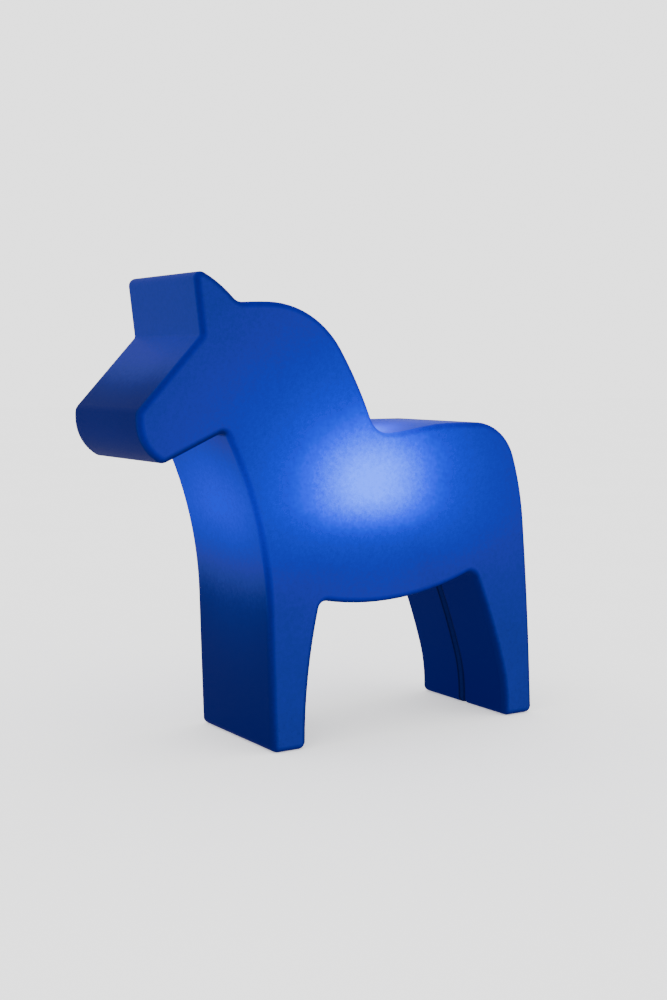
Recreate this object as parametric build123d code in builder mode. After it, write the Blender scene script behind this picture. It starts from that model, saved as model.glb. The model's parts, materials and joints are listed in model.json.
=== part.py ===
from build123d import *
from math import pi, radians, tan
import os

# A table lamp in the shape of a dala horse: a hollow moulded horse that stands on its hooves, a hatch in its
# belly, and on the hatch an E27 lampholder with an LED bulb. The head is towards -X, up is +Z, and the origin
# is on the floor, under the middle of the horse's box. Y = 0 is its plane of symmetry. Millimetres.

# The horse's outline
LENGTH = 503.0  # muzzle to rump
HEIGHT = 500.0  # floor to ear tips
WIDTH = 164.0  # between the two flat sides
BELLY_HEIGHT = 150.0  # floor to the lowest point of the belly
BACK_HEIGHT = 343.0  # floor to the top of the hindquarters

# The moulded shell
WALL = 3.5
SIDE_ROUND = 7.0  # the long edges of the two flat sides
HOOF_ROUND = 8.0
EAR_ROUND = 8.0
EAR_PEAK = 0.62  # how far the sharp ear tip stands above its rounding, for each mm of radius
CHIN_ROUND = 10.0
BROW_ROUND = 12.0
NOTCH_ROUND = 4.0
NAPE_ROUND = 15.0
WITHERS_ROUND = 25.0
DIP_ROUND = 120.0
BACK_ROUND = 200.0
RUMP_ROUND = 58.0
THROAT_ROUND = 6.0
LEG_ROUND = 9.0

# The cable channel, from the belly port down the front of the hind legs
CHANNEL_WIDTH = 9.0
CHANNEL_DEPTH = 8.0
CHANNEL_ROUND = 3.0
CHANNEL_LIP = 1.5

# The belly port, its screws and the hatch
PORT_X = 30.0
PORT_MARGIN = 8.0  # around the bulb as it passes the port
SEAT_DEPTH = 11.0  # from the lowest point of the belly up to the hatch's seat
SEAT_WALL = 4.0
SCREW_MARGIN = 8.0  # from the port's edge out to the screws
SCREW_COUNT = 4
SCREW_RADIUS = 1.95
SCREW_LENGTH = 12.0
SCREW_HEAD_RADIUS = 3.8
SCREW_HEAD_HEIGHT = 2.6
CROSS_WIDTH = 0.9
CROSS_DEPTH = 1.4
WASHER_RADIUS = 4.5
WASHER_THICKNESS = 0.8
INSERT_WALL = 1.05  # outside the screw
INSERT_LENGTH = 7.0
BOSS_WALL = 3.0  # outside the insert
BOSS_HEIGHT = 12.0
PLATE_MARGIN = 7.0  # from the screws out to the hatch's edge
PLATE_THICKNESS = 3.5
GASKET_THICKNESS = 1.5
GASKET_WIDTH = 4.0

# Clearances and tolerances
SHORTEST_EDGE = 0.01  # anything shorter that an offset leaves is closed up
TOUCHING = 0.001
FIT = 0.05  # between a shaft and its hole
LOOSE = 0.3  # between pieces that pass or turn past each other
RIM_GAP = 1.0  # between the hatch plate and the recess it lies in

# The cable gland, in the hatch plate
GLAND_INSET = 12.0  # from the port's edge in to the gland's axis
GLAND_THREAD = 5.9  # radius
GLAND_BORE = 3.9
GLAND_HEX = 15.0  # across the flats
GLAND_FLANGE = 3.0
GLAND_BASKET = 6.0  # length of the lower thread
GLAND_NUT_HEIGHT = 4.5
GLAND_SEAL = 1.0
CABLE_BORE = 3.4  # radius of the rubber sleeve's hole
SLEEVE_WALL = 1.5
DOME_WALL = 1.0
DOME_END = 4.0

# The bracket and the hollow fixing tube under the lampholder
BRACKET_HEIGHT = 16.0  # from the plate to the bracket's top
BRACKET_WIDTH = 16.0
BRACKET_SPAN = 15.0  # from the lamp's axis to the outside of each upright
BRACKET_FOOT = 25.0  # from the lamp's axis to the end of each foot
BRACKET_SHEET = 1.5
BRACKET_PAD = 20.0  # from the lamp's axis to each screw
PAD_HEIGHT = 3.0
PAD_RADIUS = 4.5
BRACKET_SCREW_RADIUS = 1.45
BRACKET_SCREW_DEPTH = 5.0
TUBE_RADIUS = 4.95
TUBE_BORE = 4.0
TUBE_BELOW = 5.0  # below the bracket's top
TUBE_ABOVE = 8.0
TUBE_NUT_HEX = 14.0
TUBE_NUT_HEIGHT = 3.5

# The E27 lampholder
CAP_NECK_RADIUS = 11.0
CAP_RADIUS = 19.0
CAP_WALL = 2.0
CAP_NECK = 5.0
CAP_SLOPE = 8.0
CAP_HEIGHT = 24.0
CORE_LIFT = 20.0  # from the bracket's top to the core's underside
CORE_THICKNESS = 9.0
SKIRT_STEP = 1.0  # how much wider the skirt is than the cap
SKIRT_WALL = 2.8
COLLAR_STEP = 2.5  # how much wider the skirt's collar is than the cap
SKIRT_COLLAR_HEIGHT = 9.0
SKIRT_HEIGHT = 36.0
SLEEVE_RADIUS = 13.5  # inside of the threaded contact sleeve
SLEEVE_SHEET = 0.6
SLEEVE_HEIGHT = 19.0
CONTACT_SHEET = 0.5
CONTACT_RISE = 1.5
CONTACT_WIDTH = 5.0
TERMINAL_RADIUS = 7.5  # from the lamp's axis to each terminal
TERMINAL_SCREW = 1.2

# The terminal block and the inner leads
BLOCK_INSET = 10.0  # from the port's edge in to the block's middle
BLOCK_LENGTH = 16.0
BLOCK_WIDTH = 17.0
BLOCK_HEIGHT = 12.0
POLE_SPACING = 8.0
WIRE_HEIGHT = 4.0
WIRE_HOLE = 1.7
BLOCK_SCREW_RADIUS = 1.5
BLOCK_SCREW_SPACING = 7.0
LEAD_RADIUS = 0.9
LEAD_TURN = 9.0  # from the lamp's axis, where a lead turns up
LEAD_SPREAD = 3.0  # from the middle plane, at that turn
LEAD_SPACING = 1.6  # from the middle plane, in the tube
LEAD_LIFT = 6.0  # above the poles, where a lead comes under the tube
LEAD_CLEAR = 1.0  # above the tube, where a lead starts to splay
LEAD_SPLAY = 5.0  # above that, where a lead turns up to its terminal
BEND_SHARE = 0.45  # of the shorter run beside a bend, used up by the bend

# The LED bulb, size A60 with an E27 cap
BULB_LENGTH = 106.0
BULB_RADIUS = 30.0
BULB_WALL = 1.2
BULB_RIM_RADIUS = 25.5
BULB_RIM_DROP = 50.0  # from the top of the globe down to its rim
BULB_CAP_RADIUS = 13.1
BULB_CAP_SHEET = 0.4
BULB_CAP_START = 5.0  # from the bulb's tip
BULB_CAP_END = 23.0
TIP_RADIUS = 4.8
TIP_HEIGHT = 2.0
TIP_LAND = 1.0  # of the insulator, around the tip and inside the cap's edge
CAP_EDGE_ROUND = 1.0
HOUSING_OVERLAP = 7.0  # how far the housing reaches down into the metal cap
HOUSING_NECK = 14.5
HOUSING_WAIST = 18.5
BOARD_DROP = 3.0  # from the globe's rim down to the LED board
BOARD_THICKNESS = 1.6
BOARD_RADIUS = 23.0
DRIVER_WIDTH = 20.0
CAPACITOR_RADIUS = 4.0
CAPACITOR_HEIGHT = 14.0
CHIP_COUNT = 12
CHIP_CIRCLE = 15.0
CHIP_LENGTH = 3.5
CHIP_WIDTH = 2.8
CHIP_HEIGHT = 0.7

# Radii and places that follow from the bulb, which has to pass the port
PORT_RADIUS = BULB_RADIUS + PORT_MARGIN
SCREW_CIRCLE = PORT_RADIUS + SCREW_MARGIN
PLATE_RADIUS = SCREW_CIRCLE + PLATE_MARGIN
GLAND_OFFSET = PORT_RADIUS - GLAND_INSET
BLOCK_OFFSET = PORT_RADIUS - BLOCK_INSET

# Heights above the bracket's top, where each lead splays out and turns up
SPLAY_START = TUBE_ABOVE + LEAD_CLEAR
SPLAY_END = SPLAY_START + LEAD_SPLAY

# Radii that follow from the piece inside them
SKIRT_RADIUS = CAP_RADIUS + SKIRT_STEP
SKIRT_COLLAR = CAP_RADIUS + COLLAR_STEP
INSERT_RADIUS = SCREW_RADIUS + INSERT_WALL
BOSS_RADIUS = INSERT_RADIUS + BOSS_WALL

# Heights of the stack on the belly hatch
SEAT_Z = BELLY_HEIGHT + SEAT_DEPTH
PLATE_TOP = SEAT_Z - GASKET_THICKNESS
PLATE_BOTTOM = PLATE_TOP - PLATE_THICKNESS
BRACKET_TOP = PLATE_TOP + BRACKET_HEIGHT
CORE_BOTTOM = BRACKET_TOP + CORE_LIFT
CORE_TOP = CORE_BOTTOM + CORE_THICKNESS
SKIRT_TOP = CORE_TOP - SKIRT_COLLAR_HEIGHT + SKIRT_HEIGHT - BULB_CAP_START + LOOSE
TIP_Z = CORE_TOP + CONTACT_RISE
BULB_TOP = TIP_Z + BULB_LENGTH
BULB_RIM_Z = BULB_TOP - BULB_RIM_DROP
RECESS_RADIUS = PLATE_RADIUS + RIM_GAP
GLAND_X = PORT_X + GLAND_OFFSET
LAMP_AXIS = Axis((PORT_X, 0, 0), (0, 0, 1))
LAMP_SECTION = Plane(origin=(PORT_X, 0, 0), x_dir=(1, 0, 0), z_dir=(0, -1, 0))


def lamp_level(z):
    """The level plane at height z, centred on the lamp's axis."""
    return Plane(origin=(PORT_X, 0, z))


def gland_level(z):
    """The level plane at height z, centred on the cable gland."""
    return Plane(origin=(GLAND_X, 0, z))


def spot(along, level):
    """A point of the outline. along is a share of the length, from the middle, with the muzzle at -0.5.
    level is 0 on the floor, 1 at the belly, 2 at the back and 3 at the ear tips."""
    heights = (0, BELLY_HEIGHT, BACK_HEIGHT, HEIGHT)
    band = min(int(level), 2)
    return (along * LENGTH, heights[band] + (level - band) * (heights[band + 1] - heights[band]))


# Corners of the outline, before they are rounded
FRONT_TOE = spot(-0.201, 0)
FRONT_HEEL = spot(-0.119, 0)
ELBOW = spot(-0.081, 1.041)
FLANK = spot(0.321, 1.13)
HIND_TOE = spot(0.416, 0)
HIND_HEEL = spot(0.5, 0)
RUMP = spot(0.407, 2)
BACK = spot(0.229, 2)
DIP = spot(0.119, 1.956)
WITHERS = spot(0.059, 1.951)
NAPE = spot(-0.276, 2.812)
EAR_TIP = (spot(-0.376, 3)[0], HEIGHT + EAR_PEAK * EAR_ROUND)
EAR_NOTCH = spot(-0.36, 2.599)
BROW = spot(-0.5, 2.118)
CHIN = spot(-0.445, 1.825)
THROAT = spot(-0.308, 1.984)
CORNERS = (
    (FRONT_TOE, HOOF_ROUND),
    (FRONT_HEEL, HOOF_ROUND),
    (ELBOW, LEG_ROUND),
    (FLANK, LEG_ROUND),
    (HIND_TOE, HOOF_ROUND),
    (HIND_HEEL, HOOF_ROUND),
    (RUMP, RUMP_ROUND),
    (BACK, BACK_ROUND),
    (DIP, DIP_ROUND),
    (WITHERS, WITHERS_ROUND),
    (NAPE, NAPE_ROUND),
    (EAR_TIP, EAR_ROUND),
    (EAR_NOTCH, NOTCH_ROUND),
    (BROW, BROW_ROUND),
    (CHIN, CHIN_ROUND),
    (THROAT, THROAT_ROUND),
)


def draw_arch():
    """The inside of the legs and the belly, drawn in the open line block."""
    ThreePointArc(FRONT_HEEL, spot(-0.111, 0.507), ELBOW)
    belly = ThreePointArc(ELBOW, spot(-0.009, 1.01), spot(0.062, 1))
    TangentArc(belly @ 1, FLANK, tangent=belly % 1)
    thigh = ThreePointArc(FLANK, spot(0.369, 0.76), spot(0.401, 0.427))
    TangentArc(thigh @ 1, HIND_TOE, tangent=thigh % 1)


def side_view():
    """The horse's outline as a sketch of lines and arcs, with its corners rounded."""
    with BuildSketch(Plane.XZ) as side:
        with BuildLine():
            Line(FRONT_TOE, FRONT_HEEL)
            draw_arch()
            Line(HIND_TOE, HIND_HEEL)
            hind = ThreePointArc(HIND_HEEL, spot(0.49, 0.667), spot(0.47, 1.409))
            TangentArc(hind @ 1, RUMP, tangent=hind % 1)
            Line(RUMP, BACK)
            Line(BACK, DIP)
            Line(DIP, WITHERS)
            neck = ThreePointArc(WITHERS, spot(0.022, 2.223), spot(-0.029, 2.516))
            crest = TangentArc(neck @ 1, spot(-0.202, 2.822), tangent=neck % 1)
            TangentArc(crest @ 1, NAPE, tangent=crest % 1)
            ThreePointArc(NAPE, spot(-0.319, 2.936), EAR_TIP)
            Line(EAR_TIP, EAR_NOTCH)
            Line(EAR_NOTCH, BROW)
            nose = Line(BROW, spot(-0.5, 2.057))
            TangentArc(nose @ 1, CHIN, tangent=nose % 1)
            Line(CHIN, THROAT)
            chest = ThreePointArc(THROAT, spot(-0.238, 1.518), spot(-0.21, 1.01))
            TangentArc(chest @ 1, FRONT_TOE, tangent=chest % 1)
        make_face()
        for corner, radius in CORNERS:
            fillet(side.vertices().sort_by_distance(corner)[0], radius)
    return side.sketch


def channel_view(depth):
    """The cable channel seen from the side: what lies behind the port and within depth of the arch."""
    with BuildSketch(Plane.XZ) as side:
        with BuildLine():
            draw_arch()
            Line(HIND_TOE, FRONT_HEEL)
        make_face()
        for corner in (ELBOW, FLANK):
            fillet(side.vertices().sort_by_distance(corner)[0], LEG_ROUND)
        offset(amount=depth, min_edge_length=SHORTEST_EDGE)
        with Locations((PORT_X, 0)):
            Rectangle(LENGTH, HEIGHT, align=(Align.MIN, Align.CENTER), mode=Mode.INTERSECT)
    return side.sketch


def on_channel_lip(edge):
    """Whether an edge lies where a side of the channel meets the outside of the shell."""
    middle = edge @ 0.5
    in_outline = Vertex(middle.X, 0, middle.Z)
    at_side = abs(abs(middle.Y) - CHANNEL_WIDTH / 2) < TOUCHING
    return at_side and outline.face().outer_wire().distance_to(in_outline) < TOUCHING


def hexagon(across_flats):
    """A hexagon for a nut, drawn in the open sketch."""
    RegularPolygon(radius=across_flats / 2, side_count=6, major_radius=False)


def ring(level, outer, inner, height):
    """A round ring, washer or tube that stands on a level plane."""
    with BuildPart() as made:
        with BuildSketch(level):
            Circle(outer)
            Circle(inner, mode=Mode.SUBTRACT)
        extrude(amount=height)
    return made


# ---------------------------------------------------------------- the moulded horse
outline = side_view()

with BuildPart() as cavity:
    with BuildSketch(Plane.XZ):
        add(outline)
        offset(amount=-WALL, min_edge_length=SHORTEST_EDGE)
    extrude(amount=WIDTH / 2 - WALL, both=True)
    fillet(cavity.faces().filter_by(Axis.Y).edges(), SIDE_ROUND - WALL)
    # the wall around the hatch's recess
    with BuildSketch(lamp_level(0)):
        Circle(RECESS_RADIUS + WALL)
    extrude(amount=SEAT_Z + SEAT_WALL, mode=Mode.SUBTRACT)
    # the bosses around the inserts
    with BuildSketch(lamp_level(SEAT_Z)):
        with PolarLocations(SCREW_CIRCLE, SCREW_COUNT, start_angle=180 / SCREW_COUNT):
            Circle(BOSS_RADIUS)
    extrude(amount=BOSS_HEIGHT, mode=Mode.SUBTRACT)
    # the wall around the cable channel
    with BuildSketch(Plane.XZ):
        add(channel_view(CHANNEL_DEPTH + WALL))
    extrude(amount=CHANNEL_WIDTH / 2 + WALL, both=True, mode=Mode.SUBTRACT)

with BuildPart() as channel:
    with BuildSketch(Plane.XZ):
        add(channel_view(CHANNEL_DEPTH))
    extrude(amount=CHANNEL_WIDTH / 2, both=True)
    side_edges = channel.faces().filter_by(Axis.Y).edges()
    fillet(side_edges.filter_by(lambda edge: (edge @ 0.5).X > PORT_X + TOUCHING), CHANNEL_ROUND)

with BuildPart() as horse_shell:
    with BuildSketch(Plane.XZ):
        add(outline)
    extrude(amount=WIDTH / 2, both=True)
    fillet(horse_shell.faces().filter_by(Axis.Y).edges(), SIDE_ROUND)
    add(channel.part, mode=Mode.SUBTRACT)
    fillet(horse_shell.edges().filter_by(on_channel_lip), CHANNEL_LIP)
    with BuildSketch(lamp_level(0)):
        Circle(RECESS_RADIUS)
    extrude(amount=SEAT_Z, mode=Mode.SUBTRACT)
    add(cavity.part, mode=Mode.SUBTRACT)
    with BuildSketch(lamp_level(SEAT_Z)):
        Circle(PORT_RADIUS)
    extrude(amount=SEAT_WALL, mode=Mode.SUBTRACT)
    with BuildSketch(lamp_level(SEAT_Z)):
        with PolarLocations(SCREW_CIRCLE, SCREW_COUNT, start_angle=180 / SCREW_COUNT):
            Circle(INSERT_RADIUS)
    extrude(amount=INSERT_LENGTH, mode=Mode.SUBTRACT)
    # room in each boss for the end of its screw
    with BuildSketch(lamp_level(SEAT_Z + INSERT_LENGTH)):
        with PolarLocations(SCREW_CIRCLE, SCREW_COUNT, start_angle=180 / SCREW_COUNT):
            Circle(SCREW_RADIUS + LOOSE)
    extrude(amount=BOSS_HEIGHT - INSERT_LENGTH - WALL, mode=Mode.SUBTRACT)
horse_shell.part.label = "horse_shell"

with BuildPart() as brass_inserts:
    with BuildSketch(lamp_level(SEAT_Z)):
        with PolarLocations(SCREW_CIRCLE, SCREW_COUNT, start_angle=180 / SCREW_COUNT):
            Circle(INSERT_RADIUS)
            Circle(SCREW_RADIUS + FIT, mode=Mode.SUBTRACT)
    extrude(amount=INSERT_LENGTH)
brass_inserts.part.label = "brass_inserts"

# ---------------------------------------------------------------- the belly hatch
with BuildPart() as hatch_plate:
    with BuildSketch(lamp_level(PLATE_BOTTOM)):
        Circle(PLATE_RADIUS)
    extrude(amount=PLATE_THICKNESS)
    fillet(hatch_plate.edges().group_by(Axis.Z)[0], PLATE_THICKNESS / 3)
    with BuildSketch(lamp_level(PLATE_TOP)):
        with Locations((0, -BRACKET_PAD), (0, BRACKET_PAD)):
            Circle(PAD_RADIUS)
    extrude(amount=PAD_HEIGHT)
    with BuildSketch(lamp_level(PLATE_BOTTOM)):
        with PolarLocations(SCREW_CIRCLE, SCREW_COUNT, start_angle=180 / SCREW_COUNT):
            Circle(SCREW_RADIUS + LOOSE)
        with Locations((GLAND_OFFSET, 0)):
            Circle(GLAND_THREAD + FIT)
    extrude(amount=PLATE_THICKNESS, mode=Mode.SUBTRACT)
    with BuildSketch(lamp_level(PLATE_TOP + PAD_HEIGHT)):
        with Locations((0, -BRACKET_PAD), (0, BRACKET_PAD)):
            Circle(BRACKET_SCREW_RADIUS + FIT)
    extrude(amount=-BRACKET_SCREW_DEPTH, mode=Mode.SUBTRACT)
hatch_plate.part.label = "hatch_plate"

hatch_gasket = ring(lamp_level(PLATE_TOP), PORT_RADIUS + GASKET_WIDTH, PORT_RADIUS, GASKET_THICKNESS)
hatch_gasket.part.label = "hatch_gasket"

with BuildPart() as screw_washers:
    with BuildSketch(lamp_level(PLATE_BOTTOM)):
        with PolarLocations(SCREW_CIRCLE, SCREW_COUNT, start_angle=180 / SCREW_COUNT):
            Circle(WASHER_RADIUS)
            Circle(SCREW_RADIUS + FIT, mode=Mode.SUBTRACT)
    extrude(amount=-WASHER_THICKNESS)
screw_washers.part.label = "screw_washers"

HEAD_TOP = PLATE_BOTTOM - WASHER_THICKNESS
with BuildPart() as hatch_screws:
    with BuildSketch(lamp_level(HEAD_TOP)):
        with PolarLocations(SCREW_CIRCLE, SCREW_COUNT, start_angle=180 / SCREW_COUNT):
            Circle(SCREW_HEAD_RADIUS)
    extrude(amount=-SCREW_HEAD_HEIGHT)
    fillet(hatch_screws.edges().group_by(Axis.Z)[0], SCREW_HEAD_HEIGHT / 2)
    with BuildSketch(lamp_level(HEAD_TOP)):
        with PolarLocations(SCREW_CIRCLE, SCREW_COUNT, start_angle=180 / SCREW_COUNT):
            Circle(SCREW_RADIUS)
    extrude(amount=SCREW_LENGTH)
    # the cross recess in each head
    with BuildSketch(lamp_level(HEAD_TOP - SCREW_HEAD_HEIGHT)):
        with PolarLocations(SCREW_CIRCLE, SCREW_COUNT, start_angle=180 / SCREW_COUNT):
            Rectangle(SCREW_HEAD_RADIUS, CROSS_WIDTH)
            Rectangle(CROSS_WIDTH, SCREW_HEAD_RADIUS)
    extrude(amount=CROSS_DEPTH, mode=Mode.SUBTRACT)
hatch_screws.part.label = "hatch_screws"

# ---------------------------------------------------------------- the cable gland
FLANGE_TOP = PLATE_BOTTOM - GLAND_SEAL
FLANGE_BOTTOM = FLANGE_TOP - GLAND_FLANGE
BASKET_RADIUS = GLAND_THREAD + DOME_WALL / 2
SLEEVE_RADIUS_OUT = CABLE_BORE + SLEEVE_WALL
with BuildPart() as gland_body:
    with BuildSketch(gland_level(FLANGE_BOTTOM)):
        hexagon(GLAND_HEX)
    extrude(amount=GLAND_FLANGE)
    with BuildSketch(gland_level(FLANGE_TOP)):
        Circle(GLAND_THREAD)
    extrude(amount=GLAND_SEAL + PLATE_THICKNESS + 2 * GLAND_NUT_HEIGHT)
    with BuildSketch(gland_level(FLANGE_BOTTOM)):
        Circle(BASKET_RADIUS)
    extrude(amount=-GLAND_BASKET)
    with BuildSketch(gland_level(FLANGE_BOTTOM - GLAND_BASKET)):
        Circle(GLAND_BORE)
    extrude(amount=HEIGHT, mode=Mode.SUBTRACT)
    with BuildSketch(gland_level(FLANGE_BOTTOM - GLAND_BASKET)):
        Circle(SLEEVE_RADIUS_OUT + FIT)
    extrude(amount=GLAND_BASKET, mode=Mode.SUBTRACT)
gland_body.part.label = "gland_body"

gland_flat_seal = ring(gland_level(FLANGE_TOP), GLAND_HEX / 2, GLAND_THREAD + FIT, GLAND_SEAL)
gland_flat_seal.part.label = "gland_flat_seal"

with BuildPart() as gland_locknut:
    with BuildSketch(gland_level(PLATE_TOP)):
        hexagon(GLAND_HEX)
        Circle(GLAND_THREAD + FIT, mode=Mode.SUBTRACT)
    extrude(amount=GLAND_NUT_HEIGHT)
gland_locknut.part.label = "gland_locknut"

gland_rubber_sleeve = ring(gland_level(FLANGE_BOTTOM), SLEEVE_RADIUS_OUT, CABLE_BORE, -GLAND_BASKET)
gland_rubber_sleeve.part.label = "gland_rubber_sleeve"

NUT_TOP = FLANGE_BOTTOM - LOOSE
NUT_BOTTOM = FLANGE_BOTTOM - GLAND_BASKET - DOME_END
with BuildPart() as gland_dome_nut:
    with BuildSketch(gland_level(NUT_TOP)):
        hexagon(GLAND_HEX)
    extrude(amount=NUT_BOTTOM - NUT_TOP)
    # the domed end
    with BuildSketch(Plane(origin=(GLAND_X, 0, 0), x_dir=(1, 0, 0), z_dir=(0, -1, 0))):
        with BuildLine():
            Line((0, NUT_TOP), (GLAND_HEX, NUT_TOP))
            Line((GLAND_HEX, NUT_TOP), (GLAND_HEX, NUT_BOTTOM + DOME_END))
            Line((GLAND_HEX, NUT_BOTTOM + DOME_END), (GLAND_HEX / 2 + DOME_WALL, NUT_BOTTOM + DOME_END))
            TangentArc(
                (GLAND_HEX / 2 + DOME_WALL, NUT_BOTTOM + DOME_END),
                (SLEEVE_RADIUS_OUT, NUT_BOTTOM),
                tangent=(0, -1),
            )
            Line((SLEEVE_RADIUS_OUT, NUT_BOTTOM), (0, NUT_BOTTOM))
            Line((0, NUT_BOTTOM), (0, NUT_TOP))
        make_face()
    revolve(axis=Axis((GLAND_X, 0, 0), (0, 0, 1)), mode=Mode.INTERSECT)
    with BuildSketch(gland_level(NUT_BOTTOM)):
        Circle(CABLE_BORE + LOOSE)
    extrude(amount=NUT_TOP - NUT_BOTTOM, mode=Mode.SUBTRACT)
    with BuildSketch(gland_level(FLANGE_BOTTOM - GLAND_BASKET)):
        Circle(BASKET_RADIUS + FIT)
    extrude(amount=GLAND_BASKET, mode=Mode.SUBTRACT)
gland_dome_nut.part.label = "gland_dome_nut"

# ---------------------------------------------------------------- bracket and fixing tube
FOOT_Z = PLATE_TOP + PAD_HEIGHT
UPRIGHT = BRACKET_TOP - FOOT_Z
FOOT_LENGTH = BRACKET_FOOT - BRACKET_SPAN + BRACKET_SHEET
with BuildPart() as holder_bracket:
    with BuildSketch(Plane(origin=(PORT_X, 0, 0), x_dir=(0, 1, 0), z_dir=(1, 0, 0))):
        with Locations((0, BRACKET_TOP)):
            Rectangle(2 * BRACKET_SPAN, BRACKET_SHEET, align=(Align.CENTER, Align.MAX))
        with Locations((BRACKET_SPAN, FOOT_Z)):
            Rectangle(BRACKET_SHEET, UPRIGHT, align=(Align.MAX, Align.MIN))
        with Locations((-BRACKET_SPAN, FOOT_Z)):
            Rectangle(BRACKET_SHEET, UPRIGHT, align=(Align.MIN, Align.MIN))
        with Locations((BRACKET_FOOT, FOOT_Z)):
            Rectangle(FOOT_LENGTH, BRACKET_SHEET, align=(Align.MAX, Align.MIN))
        with Locations((-BRACKET_FOOT, FOOT_Z)):
            Rectangle(FOOT_LENGTH, BRACKET_SHEET, align=(Align.MIN, Align.MIN))
    extrude(amount=BRACKET_WIDTH / 2, both=True)
    top_edges = holder_bracket.edges().filter_by(Axis.X).group_by(Axis.Z)[-1]
    fillet(top_edges, BRACKET_SHEET)
    with BuildSketch(lamp_level(BRACKET_TOP)):
        Circle(TUBE_RADIUS + FIT)
    extrude(amount=-BRACKET_SHEET, mode=Mode.SUBTRACT)
    with BuildSketch(lamp_level(FOOT_Z)):
        with Locations((0, -BRACKET_PAD), (0, BRACKET_PAD)):
            Circle(BRACKET_SCREW_RADIUS + FIT)
    extrude(amount=BRACKET_SHEET, mode=Mode.SUBTRACT)
holder_bracket.part.label = "holder_bracket"

with BuildPart() as bracket_screws:
    with BuildSketch(lamp_level(FOOT_Z + BRACKET_SHEET)):
        with Locations((0, -BRACKET_PAD), (0, BRACKET_PAD)):
            Circle(2 * BRACKET_SCREW_RADIUS)
    extrude(amount=BRACKET_SCREW_RADIUS)
    with BuildSketch(lamp_level(FOOT_Z + BRACKET_SHEET + BRACKET_SCREW_RADIUS)):
        with Locations((0, -BRACKET_PAD), (0, BRACKET_PAD)):
            Rectangle(2 * BRACKET_SCREW_RADIUS, CROSS_WIDTH)
            Rectangle(CROSS_WIDTH, 2 * BRACKET_SCREW_RADIUS)
    extrude(amount=-BRACKET_SCREW_RADIUS / 2, mode=Mode.SUBTRACT)
    with BuildSketch(lamp_level(FOOT_Z + BRACKET_SHEET)):
        with Locations((0, -BRACKET_PAD), (0, BRACKET_PAD)):
            Circle(BRACKET_SCREW_RADIUS)
    extrude(amount=LOOSE - BRACKET_SCREW_DEPTH - BRACKET_SHEET)
bracket_screws.part.label = "bracket_screws"

nipple_tube = ring(lamp_level(BRACKET_TOP - TUBE_BELOW), TUBE_RADIUS, TUBE_BORE, TUBE_BELOW + TUBE_ABOVE)
nipple_tube.part.label = "nipple_tube"

with BuildPart() as nipple_nut:
    with BuildSketch(lamp_level(BRACKET_TOP - BRACKET_SHEET)):
        hexagon(TUBE_NUT_HEX)
        Circle(TUBE_RADIUS + FIT, mode=Mode.SUBTRACT)
    extrude(amount=-TUBE_NUT_HEIGHT)
nipple_nut.part.label = "nipple_nut"

# ---------------------------------------------------------------- the lampholder
CAP_SHOULDER = BRACKET_TOP + CAP_NECK
CAP_SHELF = CAP_SHOULDER + CAP_SLOPE
CAP_TOP = BRACKET_TOP + CAP_HEIGHT
with BuildPart() as holder_cap:
    with BuildSketch(LAMP_SECTION):
        with BuildLine():
            Polyline(
                (TUBE_RADIUS + FIT, BRACKET_TOP),
                (CAP_NECK_RADIUS, BRACKET_TOP),
                (CAP_NECK_RADIUS, CAP_SHOULDER),
                (CAP_RADIUS, CAP_SHELF),
                (CAP_RADIUS, CAP_TOP),
                (CAP_RADIUS - CAP_WALL, CAP_TOP),
                (CAP_RADIUS - CAP_WALL, CAP_SHELF + CAP_WALL / 2),
                (CAP_NECK_RADIUS - CAP_WALL, CAP_SHOULDER + CAP_WALL / 2),
                (CAP_NECK_RADIUS - CAP_WALL, BRACKET_TOP + CAP_WALL),
                (TUBE_RADIUS + FIT, BRACKET_TOP + CAP_WALL),
                close=True,
            )
        make_face()
    revolve(axis=LAMP_AXIS)
holder_cap.part.label = "holder_cap"

with BuildPart() as holder_core:
    with BuildSketch(lamp_level(CORE_BOTTOM)):
        Circle(CAP_RADIUS - CAP_WALL - FIT)
    extrude(amount=CORE_THICKNESS)
    with BuildSketch(lamp_level(CORE_BOTTOM)):
        with Locations((TERMINAL_RADIUS, -TERMINAL_RADIUS), (TERMINAL_RADIUS, TERMINAL_RADIUS)):
            Circle(TERMINAL_SCREW + FIT)
    extrude(amount=CORE_THICKNESS / 2, mode=Mode.SUBTRACT)
holder_core.part.label = "holder_core"

COLLAR_BOTTOM = CORE_TOP - SKIRT_COLLAR_HEIGHT - CAP_WALL
with BuildPart() as holder_skirt:
    with BuildSketch(LAMP_SECTION):
        with BuildLine():
            Polyline(
                (CAP_RADIUS + FIT, COLLAR_BOTTOM),
                (SKIRT_COLLAR, COLLAR_BOTTOM),
                (SKIRT_COLLAR, CAP_TOP + LOOSE),
                (SKIRT_RADIUS, CAP_TOP + LOOSE + SKIRT_WALL),
                (SKIRT_RADIUS, SKIRT_TOP),
                (SKIRT_RADIUS - SKIRT_WALL, SKIRT_TOP),
                (SKIRT_RADIUS - SKIRT_WALL, CAP_TOP + LOOSE),
                (CAP_RADIUS + FIT, CAP_TOP + LOOSE),
                close=True,
            )
        make_face()
    revolve(axis=LAMP_AXIS)
    fillet(holder_skirt.edges().group_by(Axis.Z)[-1], SKIRT_WALL / 3)
holder_skirt.part.label = "holder_skirt"

contact_sleeve = ring(lamp_level(CORE_TOP), SLEEVE_RADIUS + SLEEVE_SHEET, SLEEVE_RADIUS, SLEEVE_HEIGHT)
contact_sleeve.part.label = "contact_sleeve"

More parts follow.
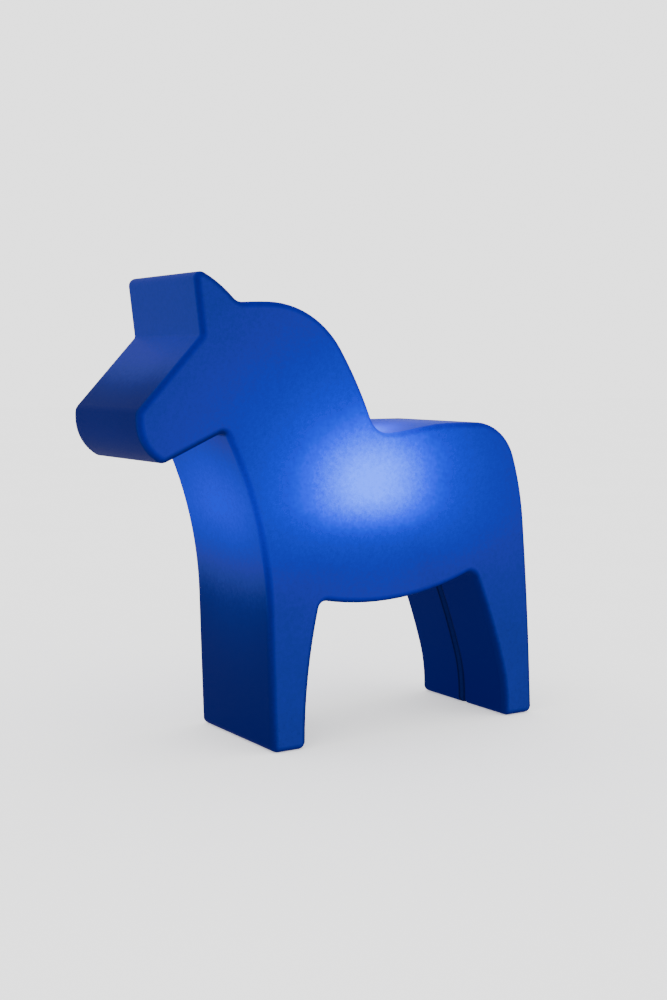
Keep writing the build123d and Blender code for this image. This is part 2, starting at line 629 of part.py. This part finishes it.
CONTACT_REACH = 2 * CONTACT_WIDTH
with BuildPart() as centre_contact:
    with BuildSketch(LAMP_SECTION):
        with BuildLine():
            Polyline(
                (-CONTACT_REACH, CORE_TOP),
                (-CONTACT_WIDTH - CONTACT_RISE, CORE_TOP),
                (-CONTACT_WIDTH, TIP_Z - CONTACT_SHEET),
                (CONTACT_WIDTH / 2, TIP_Z - CONTACT_SHEET),
                (CONTACT_WIDTH / 2, TIP_Z),
                (-CONTACT_WIDTH - CONTACT_SHEET, TIP_Z),
                (-CONTACT_WIDTH - CONTACT_RISE - CONTACT_SHEET, CORE_TOP + CONTACT_SHEET),
                (-CONTACT_REACH, CORE_TOP + CONTACT_SHEET),
                close=True,
            )
        make_face()
    extrude(amount=CONTACT_WIDTH / 2, both=True)
centre_contact.part.label = "centre_contact"

with BuildPart() as terminal_screws:
    with BuildSketch(lamp_level(CORE_BOTTOM)):
        with Locations((TERMINAL_RADIUS, -TERMINAL_RADIUS), (TERMINAL_RADIUS, TERMINAL_RADIUS)):
            Circle(2 * TERMINAL_SCREW)
    extrude(amount=-TERMINAL_SCREW)
    with BuildSketch(lamp_level(CORE_BOTTOM - TERMINAL_SCREW)):
        with Locations((TERMINAL_RADIUS, -TERMINAL_RADIUS), (TERMINAL_RADIUS, TERMINAL_RADIUS)):
            Rectangle(4 * TERMINAL_SCREW, CROSS_WIDTH)
    extrude(amount=TERMINAL_SCREW / 2, mode=Mode.SUBTRACT)
    with BuildSketch(lamp_level(CORE_BOTTOM)):
        with Locations((TERMINAL_RADIUS, -TERMINAL_RADIUS), (TERMINAL_RADIUS, TERMINAL_RADIUS)):
            Circle(TERMINAL_SCREW)
    extrude(amount=CORE_THICKNESS / 2 - LOOSE)
terminal_screws.part.label = "terminal_screws"

# ---------------------------------------------------------------- terminal block and inner leads
BLOCK_X = PORT_X - BLOCK_OFFSET
WIRE_Z = PLATE_TOP + WIRE_HEIGHT
with BuildPart() as terminal_block:
    with BuildSketch(Plane(origin=(BLOCK_X, 0, PLATE_TOP))):
        RectangleRounded(BLOCK_LENGTH, BLOCK_WIDTH, LOOSE)
    extrude(amount=BLOCK_HEIGHT)
    end_face = Plane(origin=(BLOCK_X - BLOCK_LENGTH / 2, 0, WIRE_Z), x_dir=(0, 1, 0), z_dir=(1, 0, 0))
    with BuildSketch(end_face):
        with GridLocations(POLE_SPACING, 0, 2, 1):
            Circle(WIRE_HOLE)
    extrude(amount=BLOCK_LENGTH, mode=Mode.SUBTRACT)
    with BuildSketch(Plane(origin=(BLOCK_X, 0, WIRE_Z))):
        with GridLocations(BLOCK_SCREW_SPACING, POLE_SPACING, 2, 2):
            Circle(BLOCK_SCREW_RADIUS + FIT)
    extrude(amount=BLOCK_HEIGHT, mode=Mode.SUBTRACT)
terminal_block.part.label = "terminal_block"

SCREW_FOOT = WIRE_Z + LEAD_RADIUS + LOOSE
with BuildPart() as terminal_block_screws:
    with BuildSketch(Plane(origin=(BLOCK_X, 0, SCREW_FOOT))):
        with GridLocations(BLOCK_SCREW_SPACING, POLE_SPACING, 2, 2):
            Circle(BLOCK_SCREW_RADIUS)
    extrude(amount=PLATE_TOP + BLOCK_HEIGHT - BLOCK_SCREW_RADIUS - SCREW_FOOT)
    with BuildSketch(Plane(origin=(BLOCK_X, 0, PLATE_TOP + BLOCK_HEIGHT - BLOCK_SCREW_RADIUS))):
        with GridLocations(BLOCK_SCREW_SPACING, POLE_SPACING, 2, 2):
            Rectangle(2 * BLOCK_SCREW_RADIUS, CROSS_WIDTH)
    extrude(amount=-CROSS_WIDTH, mode=Mode.SUBTRACT)
terminal_block_screws.part.label = "terminal_block_screws"


def lead(side):
    """One insulated lead, from its pole of the block, through the fixing tube, to its terminal."""
    route = [
        (BLOCK_X + BLOCK_LENGTH / 4, side * POLE_SPACING / 2, WIRE_Z),
        (PORT_X - LEAD_TURN, side * LEAD_SPREAD, WIRE_Z + LEAD_RADIUS / 2),
        (PORT_X, side * LEAD_SPACING, WIRE_Z + LEAD_LIFT),
        (PORT_X, side * LEAD_SPACING, BRACKET_TOP + SPLAY_START),
        (PORT_X, side * TERMINAL_RADIUS, BRACKET_TOP + SPLAY_END),
        (PORT_X, side * TERMINAL_RADIUS, CORE_BOTTOM),
    ]
    points = [Vector(*point) for point in route]
    runs = [after - before for before, after in zip(points, points[1:])]
    radii = []
    for run, next_run in zip(runs, runs[1:]):
        half_turn = Vector(run).get_angle(next_run) / 2
        radii.append(BEND_SHARE * min(run.length, next_run.length) / tan(radians(half_turn)))
    print("lead radii", [round(radius, 1) for radius in radii])
    with BuildPart() as wire:
        with BuildLine() as centre:
            FilletPolyline(*route, radius=radii)
        with BuildSketch(Plane(origin=centre.line @ 0, z_dir=centre.line % 0)):
            Circle(LEAD_RADIUS)
        sweep()
    whole = pi * LEAD_RADIUS**2 * sum(edge.length for edge in centre.edges())
    print("lead volume", round(wire.part.volume, 2), "of", round(whole, 2))
    return wire


live_lead = lead(-1)
live_lead.part.label = "live_lead"
neutral_lead = lead(1)
neutral_lead.part.label = "neutral_lead"

# ---------------------------------------------------------------- the LED bulb
CAP_START_Z = TIP_Z + BULB_CAP_START
CAP_END_Z = TIP_Z + BULB_CAP_END
HOUSING_FOOT = CAP_END_Z - HOUSING_OVERLAP
BOARD_Z = BULB_RIM_Z - BOARD_DROP
with BuildPart() as bulb_contact:
    with BuildSketch(lamp_level(TIP_Z)):
        Circle(TIP_RADIUS)
    extrude(amount=TIP_HEIGHT)
    fillet(bulb_contact.edges().group_by(Axis.Z)[0], TIP_HEIGHT / 3)
bulb_contact.part.label = "bulb_contact"

with BuildPart() as bulb_insulator:
    with BuildSketch(LAMP_SECTION):
        with BuildLine():
            Polyline(
                (0, TIP_Z + TIP_HEIGHT),
                (TIP_RADIUS + TIP_LAND, TIP_Z + TIP_HEIGHT),
                (BULB_CAP_RADIUS - TIP_LAND, CAP_START_Z),
                (0, CAP_START_Z),
                close=True,
            )
        make_face()
    revolve(axis=LAMP_AXIS)
bulb_insulator.part.label = "bulb_insulator"

with BuildPart() as bulb_screw_cap:
    with BuildSketch(lamp_level(CAP_START_Z)):
        Circle(BULB_CAP_RADIUS)
    extrude(amount=BULB_CAP_END - BULB_CAP_START)
    fillet(bulb_screw_cap.edges().group_by(Axis.Z)[0], CAP_EDGE_ROUND)
    with BuildSketch(lamp_level(CAP_START_Z + BULB_CAP_SHEET)):
        Circle(BULB_CAP_RADIUS - BULB_CAP_SHEET)
    extrude(amount=BULB_CAP_END, mode=Mode.SUBTRACT)
bulb_screw_cap.part.label = "bulb_screw_cap"

with BuildPart() as bulb_heat_sink:
    with BuildSketch(LAMP_SECTION):
        with BuildLine():
            inside_cap = BULB_CAP_RADIUS - BULB_CAP_SHEET - FIT
            Line((inside_cap - BULB_WALL, HOUSING_FOOT), (inside_cap, HOUSING_FOOT))
            Line((inside_cap, HOUSING_FOOT), (inside_cap, CAP_END_Z))
            Line((inside_cap, CAP_END_Z), (HOUSING_NECK, CAP_END_Z))
            ThreePointArc(
                (HOUSING_NECK, CAP_END_Z),
                (HOUSING_WAIST, (CAP_END_Z + BULB_RIM_Z) / 2),
                (BULB_RIM_RADIUS, BULB_RIM_Z),
            )
            Line((BULB_RIM_RADIUS, BULB_RIM_Z), (BOARD_RADIUS + FIT, BULB_RIM_Z))
            Line((BOARD_RADIUS + FIT, BULB_RIM_Z), (BOARD_RADIUS + FIT, BOARD_Z))
            Line((BOARD_RADIUS + FIT, BOARD_Z), (BOARD_RADIUS - 2 * BULB_WALL, BOARD_Z))
            ThreePointArc(
                (BOARD_RADIUS - 2 * BULB_WALL, BOARD_Z),
                (HOUSING_WAIST - 1.5 * BULB_WALL, (CAP_END_Z + BULB_RIM_Z) / 2),
                (inside_cap - BULB_WALL, CAP_END_Z),
            )
            Line((inside_cap - BULB_WALL, CAP_END_Z), (inside_cap - BULB_WALL, HOUSING_FOOT))
        make_face()
    revolve(axis=LAMP_AXIS)
bulb_heat_sink.part.label = "bulb_heat_sink"

with BuildPart() as bulb_led_board:
    with BuildSketch(lamp_level(BOARD_Z)):
        Circle(BOARD_RADIUS)
    extrude(amount=BOARD_THICKNESS)
bulb_led_board.part.label = "bulb_led_board"

with BuildPart() as bulb_led_chips:
    with BuildSketch(lamp_level(BOARD_Z + BOARD_THICKNESS)):
        with PolarLocations(CHIP_CIRCLE, CHIP_COUNT):
            Rectangle(CHIP_LENGTH, CHIP_WIDTH)
    extrude(amount=CHIP_HEIGHT)
bulb_led_chips.part.label = "bulb_led_chips"

with BuildPart() as bulb_driver_board:
    with BuildSketch(lamp_level(HOUSING_FOOT)):
        Rectangle(DRIVER_WIDTH, BOARD_THICKNESS)
    extrude(amount=BOARD_Z - HOUSING_FOOT)
bulb_driver_board.part.label = "bulb_driver_board"

with BuildPart() as bulb_driver_parts:
    # a capacitor that stands in the cap, and a coil above it on the other face
    with BuildSketch(lamp_level(HOUSING_FOOT)):
        with Locations((0, BOARD_THICKNESS / 2 + CAPACITOR_RADIUS)):
            Circle(CAPACITOR_RADIUS)
    extrude(amount=CAPACITOR_HEIGHT)
    with BuildSketch(lamp_level(CAP_END_Z)):
        with Locations((0, -BOARD_THICKNESS / 2 - CAPACITOR_RADIUS)):
            Rectangle(2 * CAPACITOR_RADIUS, 2 * CAPACITOR_RADIUS)
    extrude(amount=2 * CAPACITOR_RADIUS)
bulb_driver_parts.part.label = "bulb_driver_parts"

WIDEST_Z = BULB_TOP - BULB_RADIUS
with BuildPart() as bulb_globe:
    with BuildSketch(LAMP_SECTION):
        with BuildLine():
            dome = CenterArc((0, WIDEST_Z), BULB_RADIUS, 0, 90)
            TangentArc(dome @ 0, (BULB_RIM_RADIUS, BULB_RIM_Z), tangent=(0, -1))
            inner_dome = CenterArc((0, WIDEST_Z), BULB_RADIUS - BULB_WALL, 0, 90)
            TangentArc(inner_dome @ 0, (BULB_RIM_RADIUS - BULB_WALL, BULB_RIM_Z), tangent=(0, -1))
            Line((BULB_RIM_RADIUS, BULB_RIM_Z), (BULB_RIM_RADIUS - BULB_WALL, BULB_RIM_Z))
            Line(dome @ 1, inner_dome @ 1)
        make_face()
    revolve(axis=LAMP_AXIS)
bulb_globe.part.label = "bulb_globe"

# ---------------------------------------------------------------- one STEP file for each piece
os.makedirs("parts", exist_ok=True)
export_step(horse_shell.part, "parts/horse_shell.step")
export_step(brass_inserts.part, "parts/brass_inserts.step")
export_step(hatch_plate.part, "parts/hatch_plate.step")
export_step(hatch_gasket.part, "parts/hatch_gasket.step")
export_step(screw_washers.part, "parts/screw_washers.step")
export_step(hatch_screws.part, "parts/hatch_screws.step")
export_step(gland_body.part, "parts/gland_body.step")
export_step(gland_flat_seal.part, "parts/gland_flat_seal.step")
export_step(gland_locknut.part, "parts/gland_locknut.step")
export_step(gland_rubber_sleeve.part, "parts/gland_rubber_sleeve.step")
export_step(gland_dome_nut.part, "parts/gland_dome_nut.step")
export_step(holder_bracket.part, "parts/holder_bracket.step")
export_step(bracket_screws.part, "parts/bracket_screws.step")
export_step(nipple_tube.part, "parts/nipple_tube.step")
export_step(nipple_nut.part, "parts/nipple_nut.step")
export_step(holder_cap.part, "parts/holder_cap.step")
export_step(holder_core.part, "parts/holder_core.step")
export_step(holder_skirt.part, "parts/holder_skirt.step")
export_step(contact_sleeve.part, "parts/contact_sleeve.step")
export_step(centre_contact.part, "parts/centre_contact.step")
export_step(terminal_screws.part, "parts/terminal_screws.step")
export_step(terminal_block.part, "parts/terminal_block.step")
export_step(terminal_block_screws.part, "parts/terminal_block_screws.step")
export_step(live_lead.part, "parts/live_lead.step")
export_step(neutral_lead.part, "parts/neutral_lead.step")
export_step(bulb_contact.part, "parts/bulb_contact.step")
export_step(bulb_insulator.part, "parts/bulb_insulator.step")
export_step(bulb_screw_cap.part, "parts/bulb_screw_cap.step")
export_step(bulb_heat_sink.part, "parts/bulb_heat_sink.step")
export_step(bulb_led_board.part, "parts/bulb_led_board.step")
export_step(bulb_led_chips.part, "parts/bulb_led_chips.step")
export_step(bulb_driver_board.part, "parts/bulb_driver_board.step")
export_step(bulb_driver_parts.part, "parts/bulb_driver_parts.step")
export_step(bulb_globe.part, "parts/bulb_globe.step")
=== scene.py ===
import json
import math
import bpy
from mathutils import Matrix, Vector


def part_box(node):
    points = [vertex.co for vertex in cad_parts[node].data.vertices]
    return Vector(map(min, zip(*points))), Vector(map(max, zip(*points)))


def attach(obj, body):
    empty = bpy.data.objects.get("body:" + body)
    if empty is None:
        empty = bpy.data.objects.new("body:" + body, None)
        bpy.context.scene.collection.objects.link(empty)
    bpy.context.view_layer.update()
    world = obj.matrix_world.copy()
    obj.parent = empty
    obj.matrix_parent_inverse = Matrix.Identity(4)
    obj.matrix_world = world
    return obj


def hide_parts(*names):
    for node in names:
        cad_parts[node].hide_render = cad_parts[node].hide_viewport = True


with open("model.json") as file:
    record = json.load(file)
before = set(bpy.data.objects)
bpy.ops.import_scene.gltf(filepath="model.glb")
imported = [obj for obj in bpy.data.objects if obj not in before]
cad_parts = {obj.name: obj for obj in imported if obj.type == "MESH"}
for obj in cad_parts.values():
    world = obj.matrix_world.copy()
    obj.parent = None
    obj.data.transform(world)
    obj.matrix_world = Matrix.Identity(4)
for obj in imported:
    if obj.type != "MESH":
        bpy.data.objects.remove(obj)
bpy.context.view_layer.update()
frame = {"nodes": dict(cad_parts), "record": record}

nodes = frame["nodes"]

GLOBE_RADIUS = 0.030
GLOW_AHEAD = 0.008  # the brightest spot lies this far towards the head from the bulb's axis
CHANNEL_HALF = 0.0065  # half the cable channel's width, with its rounded lips
THREAD_PITCH = 0.003629
THREAD_DEPTH = 0.0009
FLOOR_REACH = 12.0


# ---------------------------------------------------------------- node material helpers
class Graph:
    """A material's node tree, with short calls for the nodes used here."""

    def __init__(self, name):
        self.material = bpy.data.materials.new(name)
        self.material.use_nodes = True
        self.tree = self.material.node_tree
        self.tree.nodes.clear()
        self.shader = self.tree.nodes.new("ShaderNodeBsdfPrincipled")
        output = self.tree.nodes.new("ShaderNodeOutputMaterial")
        self.tree.links.new(self.shader.outputs["BSDF"], output.inputs["Surface"])
        self.coordinates = self.tree.nodes.new("ShaderNodeTexCoord")

    def link(self, value, socket):
        if isinstance(value, bpy.types.NodeSocket):
            self.tree.links.new(value, socket)
        else:
            socket.default_value = value

    def math(self, operation, first, second=0.0):
        node = self.tree.nodes.new("ShaderNodeMath")
        node.operation = operation
        self.link(first, node.inputs[0])
        self.link(second, node.inputs[1])
        return node.outputs[0]

    def vector(self, operation, first, second=(0, 0, 0)):
        node = self.tree.nodes.new("ShaderNodeVectorMath")
        node.operation = operation
        self.link(first, node.inputs[0])
        self.link(second, node.inputs[1])
        return node.outputs["Value"] if operation in ("DOT_PRODUCT", "LENGTH") else node.outputs[0]

    def split(self, vector):
        node = self.tree.nodes.new("ShaderNodeSeparateXYZ")
        self.link(vector, node.inputs[0])
        return node.outputs

    def smooth(self, value, low, high, at_low, at_high):
        node = self.tree.nodes.new("ShaderNodeMapRange")
        node.interpolation_type = "SMOOTHSTEP"
        self.link(value, node.inputs["Value"])
        for socket, number in zip(("From Min", "From Max", "To Min", "To Max"), (low, high, at_low, at_high)):
            node.inputs[socket].default_value = number
        return node.outputs["Result"]

    def noise(self, scale, detail=2.0):
        node = self.tree.nodes.new("ShaderNodeTexNoise")
        node.inputs["Scale"].default_value = scale
        node.inputs["Detail"].default_value = detail
        self.link(self.coordinates.outputs["Object"], node.inputs["Vector"])
        return node.outputs["Fac"]

    def ramp(self, value, stops):
        node = self.tree.nodes.new("ShaderNodeValToRGB")
        self.link(value, node.inputs["Fac"])
        elements = node.color_ramp.elements
        while len(elements) < len(stops):
            elements.new(0.5)
        for element, (position, color) in zip(elements, stops):
            element.position = position
            element.color = (*color, 1)
        return node.outputs["Color"]

    def bump(self, height, strength, distance):
        node = self.tree.nodes.new("ShaderNodeBump")
        node.inputs["Strength"].default_value = strength
        node.inputs["Distance"].default_value = distance
        self.link(height, node.inputs["Height"])
        self.tree.links.new(node.outputs["Normal"], self.shader.inputs["Normal"])


def lit_shell():
    """Blue polyethylene lit from inside. The glow is worked out from the bulb's place and the surface."""
    graph = Graph("blue_shell")
    globe_low, globe_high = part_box("bulb_globe")
    glow = ((globe_low[0] + globe_high[0]) / 2 - GLOW_AHEAD, 0.0, globe_high[2] - GLOBE_RADIUS)
    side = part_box("horse_shell")[1][1]
    position = graph.coordinates.outputs["Object"]
    normal = graph.coordinates.outputs["Normal"]
    along, sideways, height = graph.split(position)
    forward, aside, up = graph.split(normal)
    from_bulb = graph.vector("SUBTRACT", position, glow)
    distance = graph.vector("LENGTH", from_bulb)
    facing = graph.math("DIVIDE", graph.vector("DOT_PRODUCT", from_bulb, normal), distance)
    # 1 on a flat side, straight beside the bulb
    nearness = graph.math("DIVIDE", side * side, graph.math("POWER", distance, 2.0))
    light = graph.math("MULTIPLY", graph.math("MAXIMUM", facing, 0.0), nearness)
    # the bulb's own base cuts off the light that goes down, and less of it goes up
    rising = graph.math("DIVIDE", graph.split(from_bulb)[2], distance)
    light = graph.math("MULTIPLY", light, graph.smooth(rising, -0.75, -0.10, 0.25, 1.0))
    light = graph.math("MULTIPLY", light, graph.smooth(rising, 0.10, 0.75, 1.0, 0.72))
    # light that has to cross the head or a leg to reach a narrow face is lost on the way
    across = graph.math("MINIMUM", graph.math("ABSOLUTE", aside), 1.0)
    narrow = graph.math("SUBTRACT", 1.0, across)
    crossing = graph.smooth(distance, 0.150, 0.290, 0.85, 0.10)
    kept = graph.math("ADD", across, graph.math("MULTIPLY", narrow, crossing))
    light = graph.math("MULTIPLY", light, kept)
    # painted light and shade: faces that look up are made up to 1.4 times brighter, faces that look down as dark as a
    # tenth
    light = graph.math("MULTIPLY", light, graph.smooth(up, 0.3, 0.9, 1.0, 1.40))
    light = graph.math("MULTIPLY", light, graph.smooth(up, -0.9, -0.3, 0.10, 1.0))
    # the flat sides also scatter what goes round inside, and so do the nose and the thin front of the ears
    light = graph.math("ADD", light, graph.math("MULTIPLY", across, 0.047))
    light = graph.math("ADD", light, graph.math("MULTIPLY", narrow, graph.smooth(height, 0.365, 0.425, 0.0, 0.050)))
    grain = graph.noise(850.0, 3.0)
    mottle = graph.noise(240.0, 2.0)
    wander = graph.noise(14.0, 2.0)
    speckle = graph.math("ADD", graph.math("MULTIPLY", grain, 0.60), graph.math("MULTIPLY", mottle, 0.45))
    speckle = graph.math("ADD", speckle, graph.math("MULTIPLY", wander, 0.25))
    light = graph.math("MULTIPLY", light, graph.math("ADD", speckle, 0.35))
    color = graph.ramp(light, (
        (0.0, (0.0000, 0.0000, 0.022)),
        (0.025, (0.0000, 0.0015, 0.040)),
        (0.05, (0.0035, 0.0065, 0.068)),
        (0.08, (0.0050, 0.0065, 0.095)),
        (0.165, (0.0000, 0.0060, 0.165)),
        (0.26, (0.0000, 0.0050, 0.240)),
        (0.45, (0.0000, 0.0110, 0.480)),
        (0.75, (0.0100, 0.0620, 0.720)),
        (1.0, (0.0260, 0.1080, 0.890)),
    ))
    # painted shade: the rounded long edges are thicker, so less of the inner light comes through them and they show as
    # darker bands
    slant = graph.math("SQRT", graph.math("SUBTRACT", 1.0, graph.math("POWER", across, 2.0)))
    edge_shade = graph.math("MULTIPLY", graph.math("MULTIPLY", across, slant), 2.0)
    # the cable channel lies deep between the hind legs, out of the light
    inside = graph.math("LESS_THAN", graph.math("ABSOLUTE", sideways), CHANNEL_HALF)
    for test, value, limit in (("GREATER_THAN", along, 0.10), ("LESS_THAN", height, 0.19), ("LESS_THAN", forward, 0.1)):
        inside = graph.math("MULTIPLY", inside, graph.math(test, value, limit))
    shares = graph.tree.nodes.new("ShaderNodeCombineXYZ")
    for socket, lost_in_edge in zip(shares.inputs, (0.85, 0.80, 0.42)):
        left = graph.math("SUBTRACT", 1.0, graph.math("MULTIPLY", edge_shade, lost_in_edge))
        left = graph.math("MULTIPLY", left, graph.math("SUBTRACT", 1.0, graph.math("MULTIPLY", inside, 0.72)))
        graph.link(left, socket)
    graph.link(graph.vector("MULTIPLY", color, shares.outputs[0]), graph.shader.inputs["Emission Color"])
    graph.shader.inputs["Emission Strength"].default_value = 4.0
    graph.shader.inputs["Base Color"].default_value = (0.0000, 0.0015, 0.0120, 1)
    graph.shader.inputs["Specular IOR Level"].default_value = 0.008
    graph.link(graph.smooth(grain, 0.3, 0.7, 0.48, 0.60), graph.shader.inputs["Roughness"])
    graph.bump(grain, 0.12, 0.0003)
    return graph.material


def finish(name, base, shade, roughness, metallic, scale, relief, glow=0.0):
    """A material whose colour wanders between two tones, with a worn gloss and a fine relief."""
    graph = Graph(name)
    tone = graph.noise(scale, 3.0)
    graph.link(graph.ramp(tone, ((0.3, shade), (0.7, base))), graph.shader.inputs["Base Color"])
    graph.link(graph.smooth(graph.noise(scale * 3, 2.0), 0.3, 0.7, roughness * 0.8, roughness * 1.2),
               graph.shader.inputs["Roughness"])
    graph.shader.inputs["Metallic"].default_value = metallic
    if glow:
        graph.link(graph.ramp(tone, ((0.2, base), (0.8, base))), graph.shader.inputs["Emission Color"])
        graph.shader.inputs["Emission Strength"].default_value = glow
    graph.bump(graph.noise(scale * 6, 2.0), relief, 0.0002)
    return graph.material


materials = {
    "blue_shell": lit_shell(),
    "brass": finish("brass", (0.80, 0.58, 0.26), (0.62, 0.42, 0.17), 0.28, 1.0, 180, 0.10),
    "black_plastic": finish("black_plastic", (0.022, 0.022, 0.024), (0.012, 0.012, 0.013), 0.50, 0.0, 220, 0.25),
    "black_rubber": finish("black_rubber", (0.018, 0.018, 0.018), (0.010, 0.010, 0.010), 0.85, 0.0, 300, 0.35),
    "steel": finish("steel", (0.62, 0.63, 0.65), (0.46, 0.47, 0.50), 0.33, 1.0, 160, 0.10),
    "white_plastic": finish("white_plastic", (0.84, 0.84, 0.82), (0.76, 0.76, 0.73), 0.32, 0.0, 120, 0.06),
    "ceramic_white": finish("ceramic_white", (0.87, 0.86, 0.82), (0.79, 0.77, 0.71), 0.16, 0.0, 140, 0.05),
    "clear_plastic": finish("clear_plastic", (0.80, 0.82, 0.80), (0.68, 0.71, 0.69), 0.30, 0.0, 150, 0.08),
    "brown_lead": finish("brown_lead", (0.17, 0.075, 0.030), (0.11, 0.045, 0.018), 0.45, 0.0, 260, 0.10),
    "blue_lead": finish("blue_lead", (0.03, 0.16, 0.52), (0.02, 0.10, 0.38), 0.45, 0.0, 260, 0.10),
    "tin": finish("tin", (0.72, 0.72, 0.72), (0.52, 0.52, 0.53), 0.30, 1.0, 320, 0.30),
    "nickel": finish("nickel", (0.76, 0.74, 0.69), (0.62, 0.60, 0.55), 0.20, 1.0, 150, 0.06),
    "aluminium_board": finish("aluminium_board", (0.85, 0.86, 0.86), (0.78, 0.79, 0.79), 0.40, 0.0, 120, 0.05),
    "yellow_phosphor": finish("yellow_phosphor", (0.90, 0.72, 0.12), (0.80, 0.60, 0.08), 0.50, 0.0, 300, 0.10),
    "green_board": finish("green_board", (0.04, 0.24, 0.09), (0.02, 0.15, 0.05), 0.35, 0.0, 200, 0.10),
    "opal_diffuser": finish("opal_diffuser", (0.96, 0.95, 0.90), (0.92, 0.91, 0.86), 0.45, 0.0, 90, 0.05, 2.0),
}
for subpart in frame["record"]["subparts"]:
    piece = nodes[subpart["node"]]
    piece.data.materials.clear()
    piece.data.materials.append(materials[subpart["material_slot"]])


# ---------------------------------------------------------------- pieces in mesh code
def mesh_object(name, points, faces, material):
    """An object from points and faces, smooth shaded."""
    mesh = bpy.data.meshes.new(name)
    mesh.from_pydata(points, [], faces)
    mesh.polygons.foreach_set("use_smooth", [True] * len(mesh.polygons))
    mesh.materials.append(material)
    mesh.update()
    made = bpy.data.objects.new(name, mesh)
    bpy.context.scene.collection.objects.link(made)
    return made


def threaded_cap():
    """The bulb's cap with its round thread of 3.63 mm pitch, in place of the plain CAD tube."""
    low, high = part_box("bulb_screw_cap")
    middle = (low[0] + high[0]) / 2
    crest = (high[0] - low[0]) / 2
    around = 96
    levels = 90
    height = high[2] - low[2]
    points = []
    for level in range(levels + 1):
        share = level / levels
        z = low[2] + share * height
        # the thread runs out into a plain band at the top, and the foot curls in
        thread = min(1.0, max(0.0, (0.90 - share) / 0.08)) * min(1.0, share / 0.06)
        for step in range(around):
            angle = 2 * math.pi * step / around
            wave = 0.5 - 0.5 * math.cos(2 * math.pi * (z / THREAD_PITCH) - angle)
            radius = crest - THREAD_DEPTH * wave * thread - 0.0008 * max(0.0, 1 - share / 0.05)
            points.append((middle + radius * math.cos(angle), radius * math.sin(angle), z))
    faces = []
    for level in range(levels):
        for step in range(around):
            after = (step + 1) % around
            row = level * around
            faces.append((row + step, row + after, row + around + after, row + around + step))
    foot = len(points)
    points.append((middle, 0.0, low[2]))
    faces += [((step + 1) % around, step, foot) for step in range(around)]
    made = mesh_object("threaded_cap", points, faces, materials["nickel"])
    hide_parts("bulb_screw_cap")
    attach(made, "bulb")


threaded_cap()

# ---------------------------------------------------------------- floor, light and camera
pale = Graph("pale_floor")
pale.link(pale.ramp(pale.noise(3.0), ((0.3, (0.80, 0.80, 0.80)), (0.7, (0.82, 0.82, 0.82)))),
          pale.shader.inputs["Base Color"])
pale.shader.inputs["Roughness"].default_value = 0.9
pale.shader.inputs["Specular IOR Level"].default_value = 0.0
pale.shader.inputs["Emission Color"].default_value = (1, 1, 1, 1)
pale.shader.inputs["Emission Strength"].default_value = 0.42
floor = mesh_object(
    "floor",
    [(sx * FLOOR_REACH, sy * FLOOR_REACH, 0.0) for sx, sy in ((-1, -1), (1, -1), (1, 1), (-1, 1))],
    [(0, 1, 2, 3)],
    pale.material,
)

world = bpy.data.worlds.new("studio")
world.use_nodes = True
world.node_tree.nodes["Background"].inputs["Color"].default_value = (1, 1, 1, 1)
world.node_tree.nodes["Background"].inputs["Strength"].default_value = 2.4
bpy.context.scene.world = world


def soft_light(name, place, size, power):
    """A large lamp that faces the middle of the horse."""
    data = bpy.data.lights.new(name, "AREA")
    data.size = size
    data.energy = power
    lamp = bpy.data.objects.new(name, data)
    lamp.location = place
    target = (0.0, 0.0, 0.25)
    ahead = [t - p for t, p in zip(target, place)]
    across = math.hypot(ahead[0], ahead[1])
    lamp.rotation_euler = (math.atan2(across, -ahead[2]), 0, math.atan2(ahead[1], ahead[0]) - math.pi / 2)
    bpy.context.scene.collection.objects.link(lamp)


soft_light("soft_left", (-2.2, -1.6, 2.0), 1.8, 8)
soft_light("soft_right", (1.8, -2.0, 1.8), 1.8, 5)

camera_data = bpy.data.cameras.new("camera")
camera_data.sensor_fit = "AUTO"
camera_data.sensor_width = 36.0
camera_data.lens = 52.4
camera = bpy.data.objects.new("camera", camera_data)
camera.location = (-0.8515, -1.378, 0.407)
camera.rotation_euler = (math.radians(90 - 5.29), 0, -math.radians(32.47))
bpy.context.scene.collection.objects.link(camera)
bpy.context.scene.camera = camera
